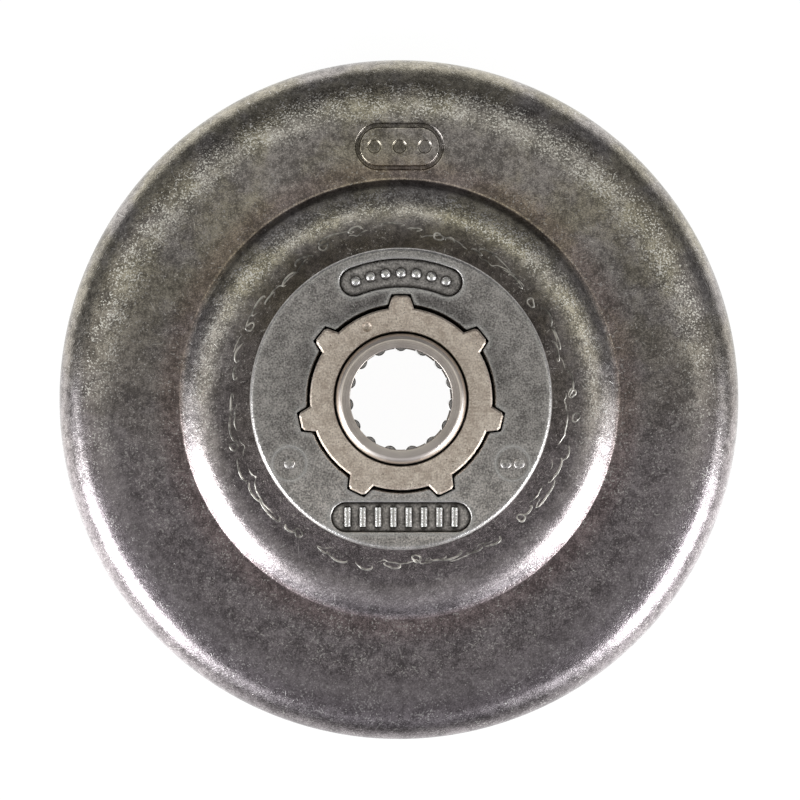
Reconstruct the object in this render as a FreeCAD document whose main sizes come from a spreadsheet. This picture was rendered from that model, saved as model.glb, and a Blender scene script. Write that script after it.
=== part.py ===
import FreeCAD, Part
import math
import os
import re

import Sketcher

# Chainsaw clutch drum with a splined hub brazed into it, a rim sprocket that floats on the splines
# and a drawn-cup needle bearing pressed into the hub.
# The drum stands on its open mouth: z = 0 is the mouth, and +Z runs up the crankshaft's axis.
# All lengths are in millimetres and all angles in degrees.

SIZES = {
    # clutch drum, pressed from one sheet
    "drum_outer_radius": 36.5,
    "drum_wall": 2.6,
    "drum_height": 22.1,
    "drum_crown_radius": 12.0,
    "drum_crown_angle": 24.0,
    "drum_shoulder_radius": 4.4,
    "drum_mouth_chamfer": 0.5,
    "boss_height": 1.9,
    "boss_top_radius": 18.3,
    "boss_flank_radius": 6.3,
    "boss_foot_fillet": 0.8,
    # plain mark stamped into the drum's flat
    "stamp_place_radius": 27.0,
    "stamp_half_length": 4.7,
    "stamp_half_width": 2.5,
    "stamp_line_width": 0.45,
    "stamp_depth": 0.2,
    "stamp_dot_count": 3,
    "stamp_dot_radius": 0.7,
    "stamp_dot_pitch": 2.7,
    # splined hub
    "hub_root_radius": 9.5,
    "hub_spigot_radius": 11.2,
    "hub_flange_radius": 14.0,
    "hub_flange_thickness": 2.4,
    "hub_through_radius": 6.0,
    "hub_proud": 1.0,
    "hub_edge_chamfer": 0.18,
    "hub_mouth_chamfer": 0.1,
    "spline_count": 7,
    "spline_tip_radius": 10.75,
    "spline_tip_width": 1.75,
    "spline_root_width": 2.6,
    "spline_tip_chamfer": 0.22,
    "dimple_x": -3.56,
    "dimple_y": 7.49,
    "dimple_ball_radius": 0.6,
    "dimple_depth": 0.3,
    # rim sprocket
    "rim_outer_radius": 15.8,
    "rim_width": 14.2,
    "rim_edge_radius": 0.45,
    "rim_bore_chamfer": 0.25,
    "spline_clearance": 0.2,
    "track_width": 4.0,
    "track_depth": 0.9,
    "drive_slot_width": 2.6,
    "drive_slot_floor_radius": 11.2,
    "drive_tooth_width": 4.2,
    # sunk marks on the rim's outer face
    "mark_depth": 0.5,
    "mark_relief": 0.45,
    "mark_edge_radius": 0.15,
    "upper_mark_radius": 13.15,
    "upper_mark_half_width": 1.5,
    "upper_mark_half_angle": 22.0,
    "pip_count": 7,
    "pip_radius": 0.55,
    "pip_span_angle": 42.0,
    "lower_mark_offset": 12.35,
    "lower_mark_half_length": 7.3,
    "lower_mark_half_width": 1.55,
    "rib_count": 8,
    "rib_width": 0.75,
    "rib_half_length": 1.0,
    "rib_span": 11.2,
    "round_mark_place_radius": 13.45,
    "round_mark_place_angle": 30.0,
    "round_mark_radius": 1.75,
    "round_mark_depth": 0.2,
    "round_mark_pip_radius": 0.6,
    "round_mark_pip_gap": 0.7,
    # needle bearing
    "bearing_outer_radius": 7.0,
    "bearing_length": 12.0,
    "bearing_proud": 0.7,
    "bearing_bore_radius": 5.0,
    "cup_corner_radius": 1.4,
    "cup_inner_corner_radius": 0.55,
    "cup_lip_radius": 5.15,
    "needle_count": 15,
    "needle_diameter": 1.5,
    "needle_length": 8.2,
    "needle_end_chamfer": 0.12,
    "needle_clearance": 0.04,
    "cage_inner_radius": 5.5,
    "cage_outer_radius": 6.3,
    "cage_end_ring": 1.0,
    "cage_end_play": 0.25,
    "cage_slot_play": 0.06,
}

# Places and sizes that follow from the driving ones, as texts in size names
BOSS_TOP = "drum_height + boss_height"
WEB_UNDERSIDE = f"{BOSS_TOP} - drum_wall"
FLANK_ANGLE = "acos(1 - boss_height / (boss_flank_radius + boss_foot_fillet))"
FLANK_REACH = f"(boss_flank_radius + boss_foot_fillet) * sin({FLANK_ANGLE})"
FOOT_RADIUS = f"boss_top_radius + {FLANK_REACH}"
SHOULDER_CENTRE_RADIUS = "(drum_outer_radius - drum_shoulder_radius)"
CROWN_LESS_SHOULDER = "(drum_crown_radius - drum_shoulder_radius)"
CROWN_START = f"({SHOULDER_CENTRE_RADIUS} - {CROWN_LESS_SHOULDER} * sin(drum_crown_angle))"
SHOULDER_CENTRE_HEIGHT = f"(drum_height - drum_crown_radius + {CROWN_LESS_SHOULDER} * cos(drum_crown_angle))"
HUB_BOTTOM = f"{WEB_UNDERSIDE} - hub_flange_thickness"
HUB_FACE = f"{BOSS_TOP} + rim_width + hub_proud"
BEARING_TOP = f"{HUB_FACE} + bearing_proud"
BEARING_BOTTOM = f"{BEARING_TOP} - bearing_length"
RACEWAY_RADIUS = "(bearing_bore_radius + needle_diameter + needle_clearance)"
CUP_WALL = f"(bearing_outer_radius - {RACEWAY_RADIUS})"
NEEDLE_ORBIT = "(bearing_bore_radius + needle_diameter / 2)"
CAGE_LENGTH = f"(bearing_length - 2 * {CUP_WALL} - 2 * cage_end_play)"
CAGE_BOTTOM = f"{BEARING_BOTTOM} + {CUP_WALL} + cage_end_play"
RIM_LAND_RADIUS = "(hub_root_radius + spline_clearance)"
SPLINE_SLOPE = "((spline_root_width - spline_tip_width) / 2 / (spline_tip_radius - hub_root_radius))"
TOOTH_PITCH = "(360 / spline_count)"

# How far a cutting or joining shape runs past the face it has to cross
OVERRUN = 1.0
# The least volume that a cut has to take, and the least distance between two different edges
SMALLEST_CUT = 1e-4
SMALLEST_STEP = 1e-4

doc = FreeCAD.newDocument("clutch_drum_and_rim_sprocket")


def make_sheet():
    """The spreadsheet that every sketch, feature and placement is bound to."""
    made = doc.addObject("Spreadsheet::Sheet", "sizes")
    for row, (name, number) in enumerate(SIZES.items(), start=1):
        made.set(f"A{row}", name.replace("_", " "))
        made.set(f"B{row}", str(number))
        made.setAlias(f"B{row}", name)
    doc.recompute()
    return made


sheet = make_sheet()


def cells(text):
    """A text in size names as an expression in spreadsheet cells."""
    return re.sub(r"[a-z_]+", lambda m: f"sizes.{m.group()}" if m.group() in SIZES else m.group(), text)


def value(text):
    """What a text in size names comes to."""
    return float(getattr(sheet.evalExpression(cells(text)), "Value", sheet.evalExpression(cells(text))))


def bind(thing, prop, text):
    """Ties a property or a sketch dimension to the spreadsheet."""
    thing.setExpression(prop, cells(text))


def make_body(label, height="0"):
    """A new sub-part whose own frame stands at that height on the axis."""
    body = doc.addObject("PartDesign::Body", label)
    body.Label = label
    bind(body, "Placement.Base.z", height)
    return body


def origin_feature(body, role):
    return next(f for f in body.Origin.OriginFeatures if f.Role == role)


def attach(thing, body, role):
    thing.AttachmentSupport = [(origin_feature(body, role), "")]
    thing.MapMode = "FlatFace"


def arc_between(start, end, radius, turn):
    """The short arc from start to end that turns left or right."""
    chord = end - start
    side = FreeCAD.Vector(-chord.y, chord.x, 0).normalize()
    rise = math.sqrt(max(radius**2 - (chord.Length / 2) ** 2, 0))
    centre = (start + end) / 2 + side * (rise if turn == "left" else -rise)
    first, last = (start, end) if turn == "left" else (end, start)
    angles = [math.atan2(p.y - centre.y, p.x - centre.x) for p in (first, last)]
    if angles[1] < angles[0]:
        angles[1] += 2 * math.pi
    return Part.ArcOfCircle(Part.Circle(centre, FreeCAD.Vector(0, 0, 1), radius), *angles)


def place_point(sketch, piece, end, x, y):
    """Dimensions one sketch point from the origin. A coordinate of zero lies on the axis instead."""
    for kind, text, axis in (("DistanceX", x, -2), ("DistanceY", y, -1)):
        distance = value(text)
        if text == "0":
            sketch.addConstraint(Sketcher.Constraint("PointOnObject", piece, end, axis))
        elif distance > 0:
            number = sketch.addConstraint(Sketcher.Constraint(kind, -1, 1, piece, end, distance))
            bind(sketch, f"Constraints[{number}]", text)
        else:
            number = sketch.addConstraint(Sketcher.Constraint(kind, piece, end, -1, 1, -distance))
            bind(sketch, f"Constraints[{number}]", f"-({text})")


def outline(body, name, role, corners, height=None):
    """A closed, fully dimensioned sketch on one of the body's own origin planes.

    A corner is (x, y), with a straight edge to the next corner, or (x, y, radius, turn), with an arc
    that turns left or right on its way there. All but turn are texts in size names.
    """
    sketch = body.newObject("Sketcher::SketchObject", name)
    attach(sketch, body, role)
    if height is not None:
        bind(sketch, "AttachmentOffset.Base.z", height)
    points = [FreeCAD.Vector(value(c[0]), value(c[1]), 0) for c in corners]
    ends = []
    for here, there, corner in zip(points, points[1:] + points[:1], corners):
        if len(corner) == 2:
            sketch.addGeometry(Part.LineSegment(here, there))
            ends.append((1, 2))
        else:
            sketch.addGeometry(arc_between(here, there, value(corner[2]), corner[3]))
            ends.append((1, 2) if corner[3] == "left" else (2, 1))
    count = len(corners)
    for i in range(count):
        following = (i + 1) % count
        sketch.addConstraint(Sketcher.Constraint("Coincident", i, ends[i][1], following, ends[following][0]))
    for i, corner in enumerate(corners):
        place_point(sketch, i, ends[i][0], corner[0], corner[1])
        if len(corner) == 4:
            number = sketch.addConstraint(Sketcher.Constraint("Radius", i, value(corner[2])))
            bind(sketch, f"Constraints[{number}]", corner[2])
    doc.recompute()
    return sketch


def obround(centre_y, half_length, half_width):
    """Corners of a field with round ends that lies along X, centred on the Y axis."""
    straight = f"({half_length} - {half_width})"
    low, high = f"{centre_y} - {half_width}", f"{centre_y} + {half_width}"
    return [
        (f"-{straight}", low),
        (straight, low, half_width, "left"),
        (half_length, centre_y, half_width, "left"),
        (straight, high),
        (f"-{straight}", high, half_width, "left"),
        (f"-{half_length}", centre_y, half_width, "left"),
    ]


def revolve(body, name, corners):
    """A full turn about Z of a profile drawn as (radius, height)."""
    turned = body.newObject("PartDesign::Revolution", name)
    turned.Profile = outline(body, f"{name}_profile", "XZ_Plane", corners)
    turned.ReferenceAxis = (turned.Profile[0], ["V_Axis"])
    turned.Angle = 360
    doc.recompute()
    return turned


def pad(body, name, sketch, length):
    raised = body.newObject("PartDesign::Pad", name)
    raised.Profile = sketch
    bind(raised, "Length", length)
    doc.recompute()
    return raised


def pocket(body, name, sketch, length, midplane=False):
    """A cut along the sketch's normal, away from its front, which has to take material."""
    before = body.Tip.Shape.Volume
    cut = body.newObject("PartDesign::Pocket", name)
    cut.Profile = sketch
    bind(cut, "Length", length)
    if midplane:
        cut.Midplane = True
    doc.recompute()
    if before - cut.Shape.Volume < SMALLEST_CUT:
        raise RuntimeError(f"{name} cut nothing")
    return cut


def along_x(body, name, feature, count, length):
    """Copies of a feature in a row along X."""
    pattern = body.newObject("PartDesign::LinearPattern", name)
    pattern.Originals = [feature]
    pattern.Direction = (origin_feature(body, "X_Axis"), [""])
    bind(pattern, "Length", length)
    bind(pattern, "Occurrences", count)
    body.Tip = pattern
    doc.recompute()
    return pattern


def around_axis(body, name, feature, count, angle="360"):
    """Copies of a feature around Z."""
    pattern = body.newObject("PartDesign::PolarPattern", name)
    pattern.Originals = [feature]
    pattern.Axis = (origin_feature(body, "Z_Axis"), [""])
    bind(pattern, "Angle", angle)
    bind(pattern, "Occurrences", count)
    body.Tip = pattern
    doc.recompute()
    return pattern


def soften(body, name, kind, size, keep):
    """Chamfers or fillets the edges of the body's newest feature that keep picks out."""
    base = body.Tip
    names = [f"Edge{n}" for n, edge in enumerate(base.Shape.Edges, start=1) if keep(edge)]
    broken = body.newObject(f"PartDesign::{kind}", name)
    broken.Base = (base, names)
    bind(broken, {"Chamfer": "Size", "Fillet": "Radius"}[kind], size)
    doc.recompute()
    return broken


def lies_in_ring(edge, height, inner, outer):
    """Whether an edge lies flat at that height with all of it between two radii."""
    if edge.Degenerated:
        return False
    points = edge.discretize(5)
    flat = all(abs(p.z - height) < 1e-6 for p in points)
    return flat and all(inner < math.hypot(p.x, p.y) < outer for p in points)


def primitive(body, kind, name, x, y, z, **sizes):
    """A sphere or cylinder, added or cut, standing at a point of the body's frame."""
    made = body.newObject(f"PartDesign::{kind}", name)
    attach(made, body, "XY_Plane")
    for prop, text in {"Base.x": x, "Base.y": y, "Base.z": z}.items():
        bind(made, f"AttachmentOffset.{prop}", text)
    for prop, text in sizes.items():
        bind(made, prop, text)
    doc.recompute()
    return made


def crown_end(reach):
    """Where the drum's gentle crown meets its tighter shoulder, that far from the shoulder's centre."""
    return (f"{SHOULDER_CENTRE_RADIUS} + {reach} * sin(drum_crown_angle)",
            f"{SHOULDER_CENTRE_HEIGHT} + {reach} * cos(drum_crown_angle)")


def make_clutch_drum():
    """A pressed cup with its mouth down and a raised boss in the middle of its web."""
    body = make_body("clutch_drum")
    inner = "(drum_outer_radius - drum_wall)"
    flank_r = f"boss_top_radius + boss_flank_radius * sin({FLANK_ANGLE})"
    flank_z = f"{BOSS_TOP} - boss_flank_radius * (1 - cos({FLANK_ANGLE}))"
    under_flank_r = f"{flank_r} - drum_wall * sin({FLANK_ANGLE})"
    under_flank_z = f"{flank_z} - drum_wall * cos({FLANK_ANGLE})"
    revolve(body, "cup", [
        (f"{inner} + drum_mouth_chamfer", "0"),
        ("drum_outer_radius - drum_mouth_chamfer", "0"),
        ("drum_outer_radius", "drum_mouth_chamfer"),
        ("drum_outer_radius", SHOULDER_CENTRE_HEIGHT, "drum_shoulder_radius", "left"),
        (*crown_end("drum_shoulder_radius"), "drum_crown_radius", "left"),
        (CROWN_START, "drum_height"),
        (FOOT_RADIUS, "drum_height", "boss_foot_fillet", "right"),
        (flank_r, flank_z, "boss_flank_radius", "left"),
        ("boss_top_radius", BOSS_TOP),
        ("hub_spigot_radius", BOSS_TOP),
        ("hub_spigot_radius", WEB_UNDERSIDE),
        ("boss_top_radius", WEB_UNDERSIDE, "boss_flank_radius - drum_wall", "right"),
        (under_flank_r, under_flank_z, "boss_foot_fillet + drum_wall", "left"),
        (FOOT_RADIUS, "drum_height - drum_wall"),
        (CROWN_START, "drum_height - drum_wall", "drum_crown_radius - drum_wall", "right"),
        (*crown_end("(drum_shoulder_radius - drum_wall)"), "drum_shoulder_radius - drum_wall", "right"),
        (inner, SHOULDER_CENTRE_HEIGHT),
        (inner, "drum_mouth_chamfer"),
    ])
    stamp_drum(body)
    return body


def stamp_drum(body):
    """A plain sunk line round a field with round ends, and a row of dots inside it."""
    field = outline(body, "stamp_field_profile", "XY_Plane",
                    obround("stamp_place_radius", "stamp_half_length", "stamp_half_width"), "drum_height")
    pocket(body, "stamp_field", field, "stamp_depth")
    island = outline(body, "stamp_island_profile", "XY_Plane",
                     obround("stamp_place_radius", "(stamp_half_length - stamp_line_width)",
                             "(stamp_half_width - stamp_line_width)"), "drum_height - 2 * stamp_depth")
    pad(body, "stamp_island", island, "2 * stamp_depth")
    dot = primitive(body, "SubtractiveCylinder", "stamp_dot", "-stamp_dot_pitch * (stamp_dot_count - 1) / 2",
                    "stamp_place_radius", "drum_height - stamp_depth", Radius="stamp_dot_radius",
                    Height=f"stamp_depth + {OVERRUN}")
    along_x(body, "stamp_dots", dot, "stamp_dot_count", "stamp_dot_pitch * (stamp_dot_count - 1)")


def make_spline_hub():
    """A turned core with a flange under the web, a spigot through it and straight splines above it."""
    body = make_body("spline_hub", HUB_BOTTOM)
    seat = f"{BOSS_TOP} - ({HUB_BOTTOM})"
    top = f"{HUB_FACE} - ({HUB_BOTTOM})"
    ledge = f"{BEARING_BOTTOM} - ({HUB_BOTTOM})"
    revolve(body, "core", [
        ("hub_through_radius", "0"),
        ("hub_flange_radius", "0"),
        ("hub_flange_radius", "hub_flange_thickness"),
        ("hub_spigot_radius", "hub_flange_thickness"),
        ("hub_spigot_radius", seat),
        ("hub_root_radius", seat),
        ("hub_root_radius", top),
        ("bearing_outer_radius + hub_mouth_chamfer", top),
        ("bearing_outer_radius", f"{top} - hub_mouth_chamfer"),
        ("bearing_outer_radius", ledge),
        ("hub_through_radius", ledge),
    ])
    tooth = outline(body, "spline_tooth_profile", "XY_Plane", [
        (f"-(spline_root_width / 2 + {SPLINE_SLOPE} * {OVERRUN})", f"hub_root_radius - {OVERRUN}"),
        (f"spline_root_width / 2 + {SPLINE_SLOPE} * {OVERRUN}", f"hub_root_radius - {OVERRUN}"),
        (f"spline_tip_width / 2 + {SPLINE_SLOPE} * spline_tip_chamfer",
         "spline_tip_radius - spline_tip_chamfer"),
        ("spline_tip_width / 2 - spline_tip_chamfer", "spline_tip_radius"),
        ("-(spline_tip_width / 2 - spline_tip_chamfer)", "spline_tip_radius"),
        (f"-(spline_tip_width / 2 + {SPLINE_SLOPE} * spline_tip_chamfer)",
         "spline_tip_radius - spline_tip_chamfer"),
    ], seat)
    around_axis(body, "splines", pad(body, "spline_tooth", tooth, f"{top} - ({seat})"), "spline_count")
    inside = value("bearing_outer_radius + hub_mouth_chamfer") + value("hub_edge_chamfer")
    soften(body, "spline_ends", "Chamfer", "hub_edge_chamfer",
           lambda edge: lies_in_ring(edge, value(top), inside, math.inf))
    primitive(body, "SubtractiveSphere", "dimple", "dimple_x", "dimple_y",
              f"{top} + dimple_ball_radius - dimple_depth", Radius="dimple_ball_radius")
    return body


def make_rim_sprocket():
    """A cast ring with a splined bore and a slot for the chain's drive links between every two teeth."""
    body = make_body("rim_sprocket", BOSS_TOP)
    middle = "rim_width / 2"
    track_floor = "rim_outer_radius - track_depth"
    revolve(body, "ring", [
        (RIM_LAND_RADIUS, "0"),
        ("rim_outer_radius - rim_edge_radius", "0", "rim_edge_radius", "left"),
        ("rim_outer_radius", "rim_edge_radius"),
        ("rim_outer_radius", f"{middle} - track_width / 2"),
        (track_floor, f"{middle} - drive_slot_width / 2"),
        (track_floor, f"{middle} + drive_slot_width / 2"),
        ("rim_outer_radius", f"{middle} + track_width / 2"),
        ("rim_outer_radius", "rim_width - rim_edge_radius", "rim_edge_radius", "left"),
        ("rim_outer_radius - rim_edge_radius", "rim_width"),
        (RIM_LAND_RADIUS, "rim_width"),
    ])
    cut_spline_bore(body)
    cut_drive_slots(body)
    sink_upper_mark(body)
    sink_lower_mark(body)
    sink_round_marks(body)
    return body


def cut_spline_bore(body):
    """Slots that clear the hub's splines all round, with their ends broken at both faces."""
    tip = "spline_tip_radius + spline_clearance"
    root = f"hub_root_radius - {OVERRUN}"
    half_tip = f"(spline_tip_width / 2 + spline_clearance - {SPLINE_SLOPE} * spline_clearance)"
    half_root = f"(spline_root_width / 2 + spline_clearance + {SPLINE_SLOPE} * {OVERRUN})"
    slot = outline(body, "spline_slot_profile", "XY_Plane", [
        (f"-{half_root}", root),
        (half_root, root),
        (half_tip, tip),
        (f"-{half_tip}", tip),
    ], "rim_width")
    around_axis(body, "spline_slots", pocket(body, "spline_slot", slot, "rim_width"), "spline_count")
    edge_limit = value(tip) + SMALLEST_CUT
    for name, height in (("bore_front_edge", "rim_width"), ("bore_back_edge", "0")):
        soften(body, name, "Chamfer", "rim_bore_chamfer",
               lambda edge: lies_in_ring(edge, value(height), 0, edge_limit))


def cut_drive_slots(body):
    """One deep slot between every two teeth, halfway between the rim's faces."""
    half_pitch = f"({TOOTH_PITCH} / 2)"
    half_tooth = "(drive_tooth_width / 2)"

    def on_flank(radius):
        along = f"sqrt(({radius}) ^ 2 - {half_tooth} ^ 2)"
        return (f"({along} * sin{half_pitch} - {half_tooth} * cos{half_pitch})",
                f"({along} * cos{half_pitch} + {half_tooth} * sin{half_pitch})")

    floor, mouth = on_flank("drive_slot_floor_radius"), on_flank(f"rim_outer_radius + {OVERRUN}")
    slot = outline(body, "drive_slot_profile", "XY_Plane", [
        (f"-{floor[0]}", floor[1], "drive_slot_floor_radius", "right"),
        floor,
        mouth,
        (f"-{mouth[0]}", mouth[1]),
    ], "rim_width / 2")
    bind(slot, "AttachmentOffset.Rotation.Angle", half_pitch)
    doc.recompute()
    cut = pocket(body, "drive_slot", slot, "drive_slot_width", midplane=True)
    around_axis(body, "drive_slots", cut, "spline_count")


def sink_field(body, name, corners):
    """A field sunk into the rim's outer face, with a rounded edge."""
    field = outline(body, f"{name}_profile", "XY_Plane", corners, "rim_width")
    known = [edge.CenterOfMass for edge in body.Tip.Shape.Edges]
    pocket(body, name, field, "mark_depth")
    soften(body, f"{name}_edge", "Fillet", "mark_edge_radius",
           lambda edge: lies_in_ring(edge, value("rim_width"), 0, math.inf)
           and all((edge.CenterOfMass - place).Length > SMALLEST_STEP for place in known))


def sink_upper_mark(body):
    """A sunk, curved field above the bore with a row of domed pips, one for each tooth."""
    swing = "upper_mark_half_angle"
    inner = "(upper_mark_radius - upper_mark_half_width)"
    outer = "(upper_mark_radius + upper_mark_half_width)"
    cap_x = f"(upper_mark_radius * sin({swing}) + upper_mark_half_width * cos({swing}))"
    cap_y = f"(upper_mark_radius * cos({swing}) - upper_mark_half_width * sin({swing}))"
    sink_field(body, "upper_mark", [
        (f"-{inner} * sin({swing})", f"{inner} * cos({swing})", inner, "right"),
        (f"{inner} * sin({swing})", f"{inner} * cos({swing})", "upper_mark_half_width", "left"),
        (cap_x, cap_y, "upper_mark_half_width", "left"),
        (f"{outer} * sin({swing})", f"{outer} * cos({swing})", outer, "left"),
        (f"-{outer} * sin({swing})", f"{outer} * cos({swing})", "upper_mark_half_width", "left"),
        (f"-{cap_x}", cap_y, "upper_mark_half_width", "left"),
    ])
    pip = primitive(body, "AdditiveEllipsoid", "pip", "upper_mark_radius * sin(pip_span_angle / 2)",
                    "upper_mark_radius * cos(pip_span_angle / 2)", "rim_width - mark_depth",
                    Radius1="mark_relief", Radius2="pip_radius", Radius3="pip_radius")
    around_axis(body, "pips", pip, "pip_count", "pip_span_angle")


def sink_lower_mark(body):
    """A sunk, straight field below the bore with a row of plain ribs, rounded on top."""
    sink_field(body, "lower_mark",
               obround("-lower_mark_offset", "lower_mark_half_length", "lower_mark_half_width"))
    base, crest = "rim_width - 2 * mark_depth", "rim_width - mark_depth + mark_relief - rib_width / 2"
    left, right = "-(rib_span + rib_width) / 2", "-(rib_span - rib_width) / 2"
    rib = outline(body, "rib_profile", "XZ_Plane", [
        (left, base),
        (right, base),
        (right, crest, "rib_width / 2", "left"),
        ("-rib_span / 2", f"{crest} + rib_width / 2", "rib_width / 2", "left"),
        (left, crest),
    ], "lower_mark_offset - rib_half_length")
    along_x(body, "ribs", pad(body, "rib", rib, "2 * rib_half_length"), "rib_count", "rib_span")


def sink_round_marks(body):
    """Two shallow round marks beside the bore, one with a single pip and one with a pair."""
    angle = "round_mark_place_angle"
    x, y = f"round_mark_place_radius * cos({angle})", f"-round_mark_place_radius * sin({angle})"
    pips = {"left": [f"-({x})"], "right": [f"{x} - round_mark_pip_gap", f"{x} + round_mark_pip_gap"]}
    for side, sign in (("left", "-"), ("right", "")):
        primitive(body, "SubtractiveCylinder", f"{side}_round_mark", f"{sign}({x})", y,
                  "rim_width - round_mark_depth", Radius="round_mark_radius",
                  Height=f"round_mark_depth + {OVERRUN}")
        for number, pip_x in enumerate(pips[side], start=1):
            primitive(body, "AdditiveEllipsoid", f"{side}_round_mark_pip_{number}", pip_x, y,
                      "rim_width - round_mark_depth", Radius1="round_mark_depth",
                      Radius2="round_mark_pip_radius", Radius3="round_mark_pip_radius")


def make_bearing_cup():
    """The bearing's drawn shell: a thin wall with a lip turned in at both ends."""
    body = make_body("bearing_cup", BEARING_BOTTOM)
    outside, lip = "bearing_outer_radius", "cup_lip_radius"
    length, corner = "bearing_length", "cup_corner_radius"
    inner_corner = "cup_inner_corner_radius"
    revolve(body, "shell", [
        (lip, "0"),
        (f"{outside} - {corner}", "0", corner, "left"),
        (outside, corner),
        (outside, f"{length} - {corner}", corner, "left"),
        (f"{outside} - {corner}", length),
        (lip, length),
        (lip, f"{length} - {CUP_WALL}"),
        (f"{RACEWAY_RADIUS} - {inner_corner}", f"{length} - {CUP_WALL}", inner_corner, "right"),
        (RACEWAY_RADIUS, f"{length} - {CUP_WALL} - {inner_corner}"),
        (RACEWAY_RADIUS, f"{CUP_WALL} + {inner_corner}", inner_corner, "right"),
        (f"{RACEWAY_RADIUS} - {inner_corner}", CUP_WALL),
        (lip, CUP_WALL),
    ])
    return body


def make_bearing_cage():
    """A ring with one window for each needle."""
    body = make_body("bearing_cage", CAGE_BOTTOM)
    revolve(body, "ring_of_cage", [
        ("cage_inner_radius", "0"),
        ("cage_outer_radius", "0"),
        ("cage_outer_radius", CAGE_LENGTH),
        ("cage_inner_radius", CAGE_LENGTH),
    ])
    half_width = "(needle_diameter / 2 + cage_slot_play)"
    low = f"({CAGE_LENGTH} / 2 - needle_length / 2 - cage_slot_play)"
    high = f"({CAGE_LENGTH} / 2 + needle_length / 2 + cage_slot_play)"
    window = outline(body, "window_profile", "XZ_Plane",
                     [(f"-{half_width}", low), (half_width, low),
                      (half_width, high), (f"-{half_width}", high)])
    cut = pocket(body, "window", window, f"cage_outer_radius + {OVERRUN}")
    around_axis(body, "windows", cut, "needle_count")
    return body


def make_needle_roller(number):
    """One needle, standing in its window of the cage. The first one is on the +Y side."""
    body = make_body(f"needle_roller_{number:02d}", f"{CAGE_BOTTOM} + {CAGE_LENGTH} / 2 - needle_length / 2")
    turn = f"({number - 1} * 360 / needle_count)"
    bind(body, "Placement.Base.x", f"-{NEEDLE_ORBIT} * sin{turn}")
    bind(body, "Placement.Base.y", f"{NEEDLE_ORBIT} * cos{turn}")
    radius, length, broken = "needle_diameter / 2", "needle_length", "needle_end_chamfer"
    revolve(body, f"needle_{number:02d}", [
        ("0", "0"),
        (f"{radius} - {broken}", "0"),
        (radius, broken),
        (radius, f"{length} - {broken}"),
        (f"{radius} - {broken}", length),
        ("0", length),
    ])
    return body


def check_and_write(bodies):
    """Stops on any failed object or bad solid, then writes one file for each sub-part."""
    doc.recompute()
    failed = [o.Name for o in doc.Objects if {"Invalid", "Error"} & set(o.State)]
    if failed:
        raise RuntimeError(f"objects that failed: {failed}")
    for body in bodies:
        shape = body.Shape
        if shape.isNull() or not shape.isValid() or len(shape.Solids) != 1:
            raise RuntimeError(f"{body.Label} isn't one sound solid")
    os.makedirs("parts", exist_ok=True)
    for body in bodies:
        body.Shape.exportStep(f"parts/{body.Label}.step")
        box = body.Shape.BoundBox
        print(f"{body.Label}: {body.Shape.Volume:.1f} mm3, z {box.ZMin:.2f} to {box.ZMax:.2f}")


check_and_write([
    make_clutch_drum(),
    make_spline_hub(),
    make_rim_sprocket(),
    make_bearing_cup(),
    make_bearing_cage(),
    *[make_needle_roller(number) for number in range(1, SIZES["needle_count"] + 1)],
])
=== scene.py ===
import math
import bpy
import numpy as np
from mathutils import Matrix, Vector


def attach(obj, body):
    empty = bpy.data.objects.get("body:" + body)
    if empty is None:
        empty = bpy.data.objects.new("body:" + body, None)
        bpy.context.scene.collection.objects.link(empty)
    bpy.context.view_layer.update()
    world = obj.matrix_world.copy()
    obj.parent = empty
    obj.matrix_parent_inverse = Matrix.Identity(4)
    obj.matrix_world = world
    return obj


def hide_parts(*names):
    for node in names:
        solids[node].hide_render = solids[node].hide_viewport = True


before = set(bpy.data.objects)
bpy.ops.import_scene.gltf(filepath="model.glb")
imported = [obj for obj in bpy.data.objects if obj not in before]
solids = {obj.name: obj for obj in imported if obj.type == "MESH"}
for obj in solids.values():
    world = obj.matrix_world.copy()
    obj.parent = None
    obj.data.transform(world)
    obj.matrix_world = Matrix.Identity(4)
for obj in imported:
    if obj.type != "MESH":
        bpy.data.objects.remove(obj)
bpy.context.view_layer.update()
scene = bpy.context.scene
mm = 0.001
print("frame loaded:", len(solids), "solids")


# meshes

def meshObject(name, points, quads, material, sharpAngle):
    mesh = bpy.data.meshes.new(name)
    mesh.from_pydata(points * mm, [], quads)
    mesh.polygons.foreach_set("use_smooth", np.ones(len(quads), bool))
    mesh.set_sharp_from_angle(angle=math.radians(sharpAngle))
    mesh.materials.append(material)
    piece = bpy.data.objects.new(name, mesh)
    scene.collection.objects.link(piece)
    return piece


def gridObject(name, points, material, sharpAngle=40.0):
    # a grid of points in mm, wrapped round both of its directions, with a quad between every four neighbours
    nu, nv = points.shape[:2]
    index = np.arange(nu * nv).reshape(nu, nv)
    index = np.pad(index, ((0, 1), (0, 1)), mode="wrap")
    quads = np.stack([index[:-1, :-1], index[1:, :-1], index[1:, 1:], index[:-1, 1:]], axis=-1)
    return meshObject(name, points.reshape(-1, 3), quads.reshape(-1, 4), material, sharpAngle)


def keepValues(piece, name, values):
    # one number for each point of a mesh, for its material to read
    kept = piece.data.attributes.new(name, "FLOAT", "POINT")
    kept.data.foreach_set("value", values.astype(np.float32).ravel())


def arc(centre, radius, start, end, count):
    # points on a circle between two angles in degrees, without the last one
    angle = np.radians(np.linspace(start, end, count, endpoint=False))
    return np.stack([centre[0] + radius * np.cos(angle), centre[1] + radius * np.sin(angle)], axis=1)


def run(start, end, count):
    # points along a straight line, without the last one
    return np.linspace(start, end, count, endpoint=False)


def wholeTurn(count):
    return run(0, 2 * math.pi, count)


def smoothStep(low, high, x):
    t = np.clip((x - low) / (high - low), 0, 1)
    return t * t * (3 - 2 * t)


# shader nodes

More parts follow.
